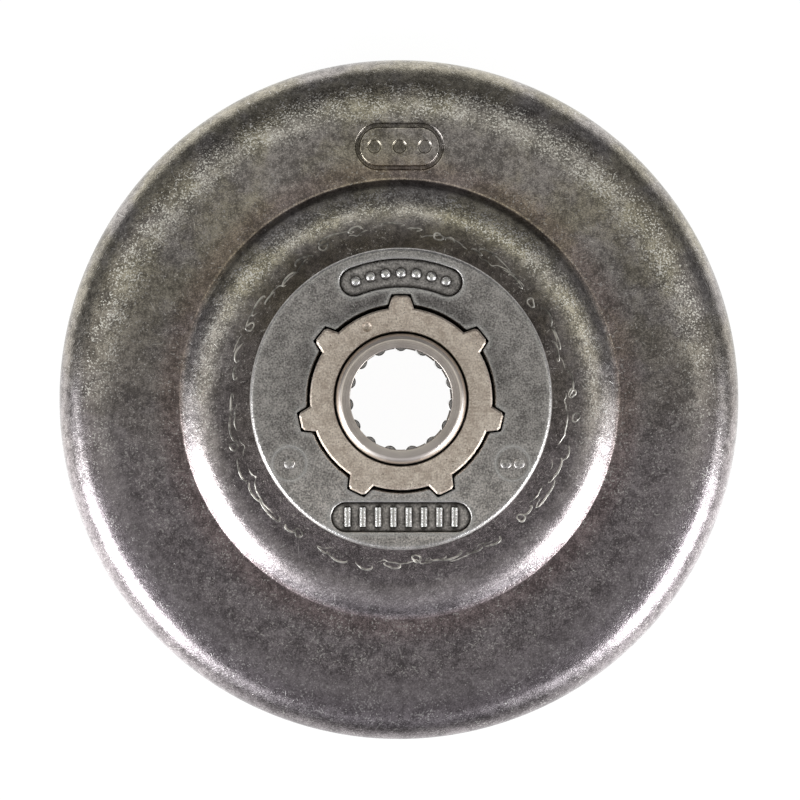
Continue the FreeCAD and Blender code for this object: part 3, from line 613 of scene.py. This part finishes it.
def makeDrum(d):
    # the section turned about Z, a hair uneven along its normal, with the stamped mark sunk into its flat
    section = drumSection(d)
    half = math.radians(d["stampHalfAngle"])
    turn = np.concatenate([run(-half, half, d["stampSteps"]),
                           run(half, 2 * math.pi - half, d["steps"])]) + math.pi / 2
    along = np.roll(section, -1, axis=0) - np.roll(section, 1, axis=0)
    normal = np.stack([along[:, 1], -along[:, 0]], axis=1) / np.linalg.norm(along, axis=1, keepdims=True)
    outward, upward = section[None, :, 0], section[None, :, 1]
    wave = sum(np.cos(count * turn[:, None] + phase)
               * np.cos(outward * pace + upward * d["wavePaceZ"] + 2 * phase)
               for count, phase, pace in d["waves"]) / len(d["waves"])
    inset = d["waviness"] * (wave - 1)
    radius = outward + inset * normal[None, :, 0]
    height = upward + inset * normal[None, :, 1] * (upward > d["mouthChamfer"])
    x, y = radius * np.cos(turn)[:, None], radius * np.sin(turn)[:, None]
    onFlat = (upward > d["height"] - d["flatMargin"]) & (outward > footRadius + d["flatMargin"]) & (y > 0)
    sunk, shade = (np.where(onFlat, values, 0) for values in stamp(d, x, y))
    shell = gridObject("drum_shell", np.stack([x, y, height - sunk], axis=-1), drumSteel)
    keepValues(shell, "shade", shade)
    return shell


drumShell = makeDrum(drum)
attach(drumShell, "drum")
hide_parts("clutch_drum")
print("drum made:", len(drumShell.data.polygons), "faces")


# braze that crept out from the hub over the boss

braze = {
    "seed": 11, "steps": 2200, "lobes": 34, "lobeWidths": (0.4, 2.2), "edgeFrom": 17.2, "edgeTo": 18.7,
    # a lobe's own share of its place and each neighbour's, its reach for its width, its roundness and base
    "ownShare": 0.4, "nextShare": 0.3, "lobeReach": 0.42, "lobeRound": 0.96, "lobeBase": 0.6,
    # edge: how many waves go round and their phases; swell of the bead: size, how many go round, phase
    "wobble": 2.2, "wobbles": ((61, 0.3), (97, 2.2), (143, 4.4), (211, 1.0)), "smoothing": 15,
    "swell": 0.30, "swells": ((0.4, 5, 1), (0.5, 13, 2), (0.4, 31, 0)),
    "film": 0.025, "bead": 0.065, "beadAt": 0.12, "beadWidth": 0.08, "edgeRows": 13, "edgeWidth": 0.3,
    "innerRows": (0.5, 0.8), "sunk": 0.05,
    # loops: links and small rings, in mm and radians; drift: size, how many go round, phase
    "links": 38, "rings": 8, "loopSteps": (44, 8), "loopAt": 17.95, "loopShift": 0.35, "loopScatter": 0.2,
    "drifts": ((0.40, 3, 1), (0.22, 7, 0)), "ringSize": 0.36, "linkSizes": (0.18, 0.40), "ringStretch": 1.2,
    "linkStretches": (2.2, 5.0), "linkTurn": 0.35, "ringBody": (0.75, 0.35), "linkBody": (0.45, 0.65),
    "bends": ((0.16, 2, 3), (0.10, 3, 5)), "loopLift": 0.038, "loopSink": 1.5, "loopHalfWidth": 0.105,
    "loopSharp": 60.0,
}


def bossHeightAt(radius):
    # the boss is flat inside its top radius and a circle's arc beyond it, which stops short of upright
    mostShare = 0.99
    beyond = np.clip(radius - drum["bossTop"], 0, drum["bossFlank"] * mostShare)
    return flankCentre[1] + np.sqrt(drum["bossFlank"] ** 2 - beyond ** 2)


def makeBrazeFilm(b, rng):
    # a ring whose outer edge is a row of uneven round lobes, with a thin film and an edge bead as its section
    turn = wholeTurn(b["steps"])
    widths = rng.uniform(*b["lobeWidths"], b["lobes"])
    bounds = np.concatenate([[0], np.cumsum(widths) / widths.sum() * 2 * math.pi])
    lobe = np.clip(np.searchsorted(bounds, turn, side="right") - 1, 0, b["lobes"] - 1)
    within = (turn - bounds[lobe]) / (bounds[lobe + 1] - bounds[lobe]) * 2 - 1
    base = rng.uniform(b["edgeFrom"], b["edgeTo"], b["lobes"])
    base = b["ownShare"] * base + b["nextShare"] * (np.roll(base, 1) + np.roll(base, -1))
    bulge = np.sqrt(1 - b["lobeRound"] * within ** 2) - b["lobeBase"]
    edge = base[lobe] + b["lobeReach"] * widths[lobe] * bulge
    edge = edge + b["wobble"] * sum(np.cos(count * turn + phase) / count for count, phase in b["wobbles"])
    kernel = np.hanning(b["smoothing"]) / np.hanning(b["smoothing"]).sum()
    over = b["smoothing"] - 1
    edge = np.convolve(np.concatenate([edge[-over:], edge, edge[:over]]), kernel, mode="same")[over:-over]
    inward = np.concatenate([np.linspace(0, b["edgeWidth"], b["edgeRows"]), b["innerRows"]])
    swell = b["swell"] + sum(size * np.cos(count * turn + phase) for size, count, phase in b["swells"])
    hump = np.exp(-((inward - b["beadAt"]) / b["beadWidth"]) ** 2 * 2)
    lift = b["bead"] * np.clip(swell, 0, 1)[:, None] * hump[None, :]
    radius = edge[:, None] - inward[None, :]
    top = np.stack([radius, bossHeightAt(radius) + lift - b["film"]], axis=-1)
    under = radius[:, ::-2]
    bottom = np.stack([under, bossHeightAt(under) - 2 * b["sunk"]], axis=-1)
    section = np.concatenate([top, bottom], axis=1)
    x, y = section[..., 0] * np.cos(turn)[:, None], section[..., 0] * np.sin(turn)[:, None]
    return gridObject("braze_film", np.stack([x, y, section[..., 1]], axis=-1), brazeMetal)


def makeBrazeLoops(b, rng):
    # flattened tori laid along a wavy circle: long links that sink on their inner side, and a few small rings
    count, (around, tube) = b["links"] + b["rings"], b["loopSteps"]
    closed = (np.arange(count) % (count // b["rings"]) == 0)[:, None, None]
    at = (np.arange(count) + rng.uniform(-b["loopShift"], b["loopShift"], count)) * 2 * math.pi / count
    at = at[:, None, None]
    out = b["loopAt"] + sum(size * np.cos(times * at + phase) for size, times, phase in b["drifts"])
    out = out + rng.normal(0, b["loopScatter"], count)[:, None, None]
    size = np.where(closed, b["ringSize"], rng.uniform(*b["linkSizes"], count)[:, None, None])
    stretch = np.where(closed, b["ringStretch"], rng.uniform(*b["linkStretches"], count)[:, None, None])
    start = rng.normal(math.pi / 2, b["linkTurn"], count)[:, None, None]
    u, v = wholeTurn(around)[None, :, None], wholeTurn(tube)[None, None, :]
    mean, swing = (np.where(closed, *pair) for pair in zip(b["ringBody"], b["linkBody"]))
    body = np.clip(mean + swing * np.cos(u - start), 0, 1)
    ring = size * (1 + sum(part * np.cos(times * u + turns * start) for part, times, turns in b["bends"]))
    radius = out + ring * np.sin(u) + b["loopHalfWidth"] * np.cos(v) * np.sin(u)
    angle = at + (stretch * ring + b["loopHalfWidth"] * np.cos(v)) * np.cos(u) / out
    height = bossHeightAt(radius) + b["loopLift"] * (np.sin(v) - b["loopSink"] * (1 - body))
    points = np.stack([radius * np.cos(angle), radius * np.sin(angle), height], axis=-1)
    index = np.arange(count * around * tube).reshape(count, around, tube)
    index = np.pad(index, ((0, 0), (0, 1), (0, 1)), mode="wrap")
    quads = np.stack([index[:, :-1, :-1], index[:, :-1, 1:], index[:, 1:, 1:], index[:, 1:, :-1]], axis=-1)
    return meshObject("braze_loops", points.reshape(-1, 3), quads.reshape(-1, 4), brazeMetal, b["loopSharp"])


rng = np.random.default_rng(braze["seed"])
for piece in (makeBrazeFilm(braze, rng), makeBrazeLoops(braze, rng)):
    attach(piece, "drum")
    print(piece.name, "made:", len(piece.data.polygons), "faces")


# shell of the needle bearing, whose lip stays clear of the needles' ends

cup = {
    "outer": 7.0, "wall": 0.46, "top": 39.9, "length": 12.0, "lip": 5.34, "lipEdge": 0.10,
    "cornerAcross": 0.95, "cornerDown": 1.7, "cornerSteps": 20, "innerCorner": 0.55, "steps": 180,
}


def makeCup(c):
    # a thin section turned about Z: flat lips, quarter-ellipse corners and a straight wall
    half = c["length"] / 2
    bend = np.radians(np.linspace(90, 0, c["cornerSteps"]))
    corner = np.stack([c["outer"] - c["cornerAcross"] * (1 - np.cos(bend)),
                       half - c["cornerDown"] * (1 - np.sin(bend))], axis=1)
    raceway, under, edge = c["outer"] - c["wall"], half - c["wall"], c["lipEdge"]
    upper = np.concatenate([
        run((c["outer"], 0), corner[-1], 4), corner[::-1],
        arc((c["lip"] + edge, half - edge), edge, 90, 180, 5),
        run((c["lip"], half - edge), (c["lip"], under), 2),
        run((c["lip"], under), (raceway - c["innerCorner"], under), 3),
        arc((raceway - c["innerCorner"], under - c["innerCorner"]), c["innerCorner"], 90, 0, 6),
        run((raceway, under - c["innerCorner"]), (raceway, 0), 4)])
    section = np.concatenate([upper, upper[1:][::-1] * (1, -1)])
    turn = wholeTurn(c["steps"])[:, None]
    x, y = section[None, :, 0] * np.cos(turn), section[None, :, 0] * np.sin(turn)
    z = np.broadcast_to(c["top"] - half + section[None, :, 1], x.shape)
    return gridObject("cup_shell", np.stack([x, y, z], axis=-1), cupSteel)


cupShell = makeCup(cup)
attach(cupShell, "drum")
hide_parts("bearing_cup")
print("cup made:", len(cupShell.data.polygons), "faces")


# finishes of the solids that stay as they are

def dress(node, material):
    solids[node].data.materials.clear()
    solids[node].data.materials.append(material)


dress("rim_sprocket", rimSteel)
dress("spline_hub", hubSteel)
dress("bearing_cage", cageSteel)
for needle in (name for name in solids if name.startswith("needle_roller")):
    dress(needle, needleSteel)
print("solids dressed")


# floor, light and camera

softboxes = {
    "softboxLeft": {"azimuth": 212, "low": 1, "high": 35, "width": 34, "radiance": 4.6},
    "skirtLeft": {"azimuth": 212, "low": 1, "high": 33, "width": 68, "radiance": 0.8},
    "softboxRight": {"azimuth": 328, "low": 1, "high": 32, "width": 32, "radiance": 4.6},
    "skirtRight": {"azimuth": 328, "low": 1, "high": 31, "width": 68, "radiance": 0.8},
}
softboxDistance = 0.6
softboxColour = (0.96, 0.98, 1.0)
wattsPerArea = 4


def makeSoftbox(name, s):
    # an upright panel that fills the stated angles, seen from the top of the drum
    low, high = (softboxDistance * math.tan(math.radians(s[k])) for k in ("low", "high"))
    width = 2 * softboxDistance * math.tan(math.radians(s["width"] / 2))
    lamp = bpy.data.lights.new(name, "AREA")
    lamp.shape = "RECTANGLE"
    lamp.size, lamp.size_y = width, high - low
    lamp.energy = s["radiance"] * wattsPerArea * width * (high - low)
    lamp.color = softboxColour
    angle = math.radians(s["azimuth"])
    holder = bpy.data.objects.new(name, lamp)
    holder.location = (softboxDistance * math.cos(angle), softboxDistance * math.sin(angle),
                       drum["height"] * mm + (low + high) / 2)
    holder.rotation_euler = (math.pi / 2, 0, angle + math.pi / 2)
    scene.collection.objects.link(holder)


# the floor shows near white to the camera and gets a soft shadow; the steel sees it fade away from the part,
# brighter under the two softboxes
stage = {
    "floorSize": 3.0, "floorDrop": 0.02, "floorTone": 0.86, "seenWhite": 0.955, "shadeTone": 0.12,
    "reflectedWhite": 1.0, "reflectedFar": 0.2, "reflectedCentre": (-10.0, 40.0, 0.0),
    "reflectedReach": (60.0, 165.0), "glare": 0.65, "glareFrom": (0.82, 0.99),
    "glareBelow": ("softboxLeft", "softboxRight"),
}


def makeFloor(s):
    mesh = bpy.data.meshes.new("floor")
    side = s["floorSize"] / 2
    corners = [(-side, -side, 0), (side, -side, 0), (side, side, 0), (-side, side, 0)]
    mesh.from_pydata(corners, [], [(0, 1, 2, 3)])
    floor = bpy.data.objects.new("floor", mesh)
    scene.collection.objects.link(floor)
    floor.location.z = -s["floorDrop"] * mm
    material = bpy.data.materials.new("paleFloor")
    material.use_nodes = True
    tree = material.node_tree
    tree.nodes.clear()
    path = tree.nodes.new("ShaderNodeLightPath").outputs
    place = tree.nodes.new("ShaderNodeTexCoord").outputs["Object"]
    away = vector(tree, "DISTANCE", place, tuple(v * mm for v in s["reflectedCentre"]), "Value")
    fade = remap(tree, away, *(v * mm for v in s["reflectedReach"]), s["reflectedWhite"], s["reflectedFar"])
    bearing = vector(tree, "NORMALIZE", place)
    for name in s["glareBelow"]:
        azimuth = math.radians(softboxes[name]["azimuth"])
        facing = vector(tree, "DOT_PRODUCT", bearing, (math.cos(azimuth), math.sin(azimuth), 0.0), "Value")
        fade = calc(tree, "ADD", fade, remap(tree, facing, *s["glareFrom"], 0.0, s["glare"]))
    plain, shaded = (put(tree, "BsdfDiffuse", {"Color": (tone, tone, tone, 1)}).outputs[0]
                     for tone in (s["floorTone"], s["shadeTone"]))
    seen, mirrored = (put(tree, "Emission", {"Color": (1, 1, 1, 1), "Strength": strength}).outputs[0]
                      for strength in (s["seenWhite"], fade))
    lit = put(tree, "AddShader", {0: seen, 1: shaded}).outputs[0]
    other = calc(tree, "MAXIMUM", path["Is Glossy Ray"], path["Is Transmission Ray"])
    mixed = put(tree, "MixShader", {0: other, 1: plain, 2: mirrored}).outputs[0]
    mixed = put(tree, "MixShader", {0: path["Is Camera Ray"], 1: mixed, 2: lit}).outputs[0]
    tree.links.new(mixed, put(tree, "OutputMaterial").inputs[0])
    mesh.materials.append(material)


# tone by the sine of the height above the horizon: towards +Y, to both sides and towards -Y
sky = {
    "far": {0.0: (0.15, 0.15, 0.157), 0.50: (0.16, 0.16, 0.166), 0.72: (0.14, 0.14, 0.144),
            0.80: (0.24, 0.24, 0.23), 0.86: (0.72, 0.72, 0.65), 0.915: (0.80, 0.80, 0.72),
            0.955: (0.48, 0.48, 0.45), 0.985: (0.27, 0.265, 0.262)},
    "side": {0.0: (0.13, 0.13, 0.138), 0.38: (0.17, 0.17, 0.176), 0.56: (0.26, 0.26, 0.26),
             0.66: (0.62, 0.62, 0.58), 0.74: (1.05, 1.05, 0.97), 0.81: (0.74, 0.74, 0.68),
             0.88: (0.36, 0.36, 0.34), 0.95: (0.23, 0.226, 0.224)},
    "near": {0.0: (0.17, 0.17, 0.180), 0.35: (0.30, 0.30, 0.320), 0.56: (0.43, 0.43, 0.45),
             0.73: (0.35, 0.35, 0.36), 0.86: (0.29, 0.29, 0.29), 0.95: (0.23, 0.226, 0.228),
             0.99: (0.205, 0.20, 0.204)},
}
skyFades = {"far": (0.45, 0.90), "near": (0.10, -0.50)}


def makeSky(s, fades):
    # dark round the camera, a paler ring below it and dim walls, mixed by the bearing
    world = bpy.data.worlds.new("studio")
    scene.world = world
    world.use_nodes = True
    tree = world.node_tree
    tree.nodes.clear()
    towards = tree.nodes.new("ShaderNodeTexCoord").outputs["Generated"]
    upward = put(tree, "SeparateXYZ", {0: towards}).outputs["Z"]
    level = vector(tree, "NORMALIZE", vector(tree, "MULTIPLY", towards, (1.0, 1.0, 0.0)))
    bearing = put(tree, "SeparateXYZ", {0: level}).outputs["Y"]
    tones = {}
    for side, stops in s.items():
        ramp = put(tree, "ValToRGB", {0: upward})
        elements = ramp.color_ramp.elements
        while len(elements) < len(stops):
            elements.new(0.5)
        for element, (position, colour) in zip(elements, stops.items()):
            element.position = position
            element.color = (*colour, 1)
        tones[side] = ramp.outputs[0]
    tone = tones["side"]
    for side, fade in fades.items():
        tone = mixColour(tree, remap(tree, bearing, *fade), tone, tones[side])
    background = put(tree, "Background", {"Color": tone, "Strength": 1.0})
    tree.links.new(background.outputs[0], put(tree, "OutputWorld").inputs[0])


view = {
    "hubFace": 39.2, "distance": 700.0, "aside": (-7.2, -2.4), "aim": (-0.12, -0.12), "pixel": 0.1042,
    "imageWidth": 800,
}


def makeCamera(v):
    lens = bpy.data.cameras.new("camera")
    lens.lens = lens.sensor_width * v["distance"] / (v["imageWidth"] * v["pixel"])
    holder = bpy.data.objects.new("camera", lens)
    eye = Vector((*v["aside"], v["hubFace"] + v["distance"])) * mm
    target = Vector((*v["aim"], v["hubFace"])) * mm
    holder.location = eye
    ahead = (target - eye).normalized()
    right = ahead.cross(Vector((0, 1, 0))).normalized()
    holder.rotation_euler = Matrix((right, right.cross(ahead), -ahead)).transposed().to_euler()
    scene.collection.objects.link(holder)
    scene.camera = holder


makeFloor(stage)
for lampName, settings in softboxes.items():
    makeSoftbox(lampName, settings)
makeSky(sky, skyFades)
makeCamera(view)
scene.view_settings.view_transform = "Standard"
print("floor, light and camera made")
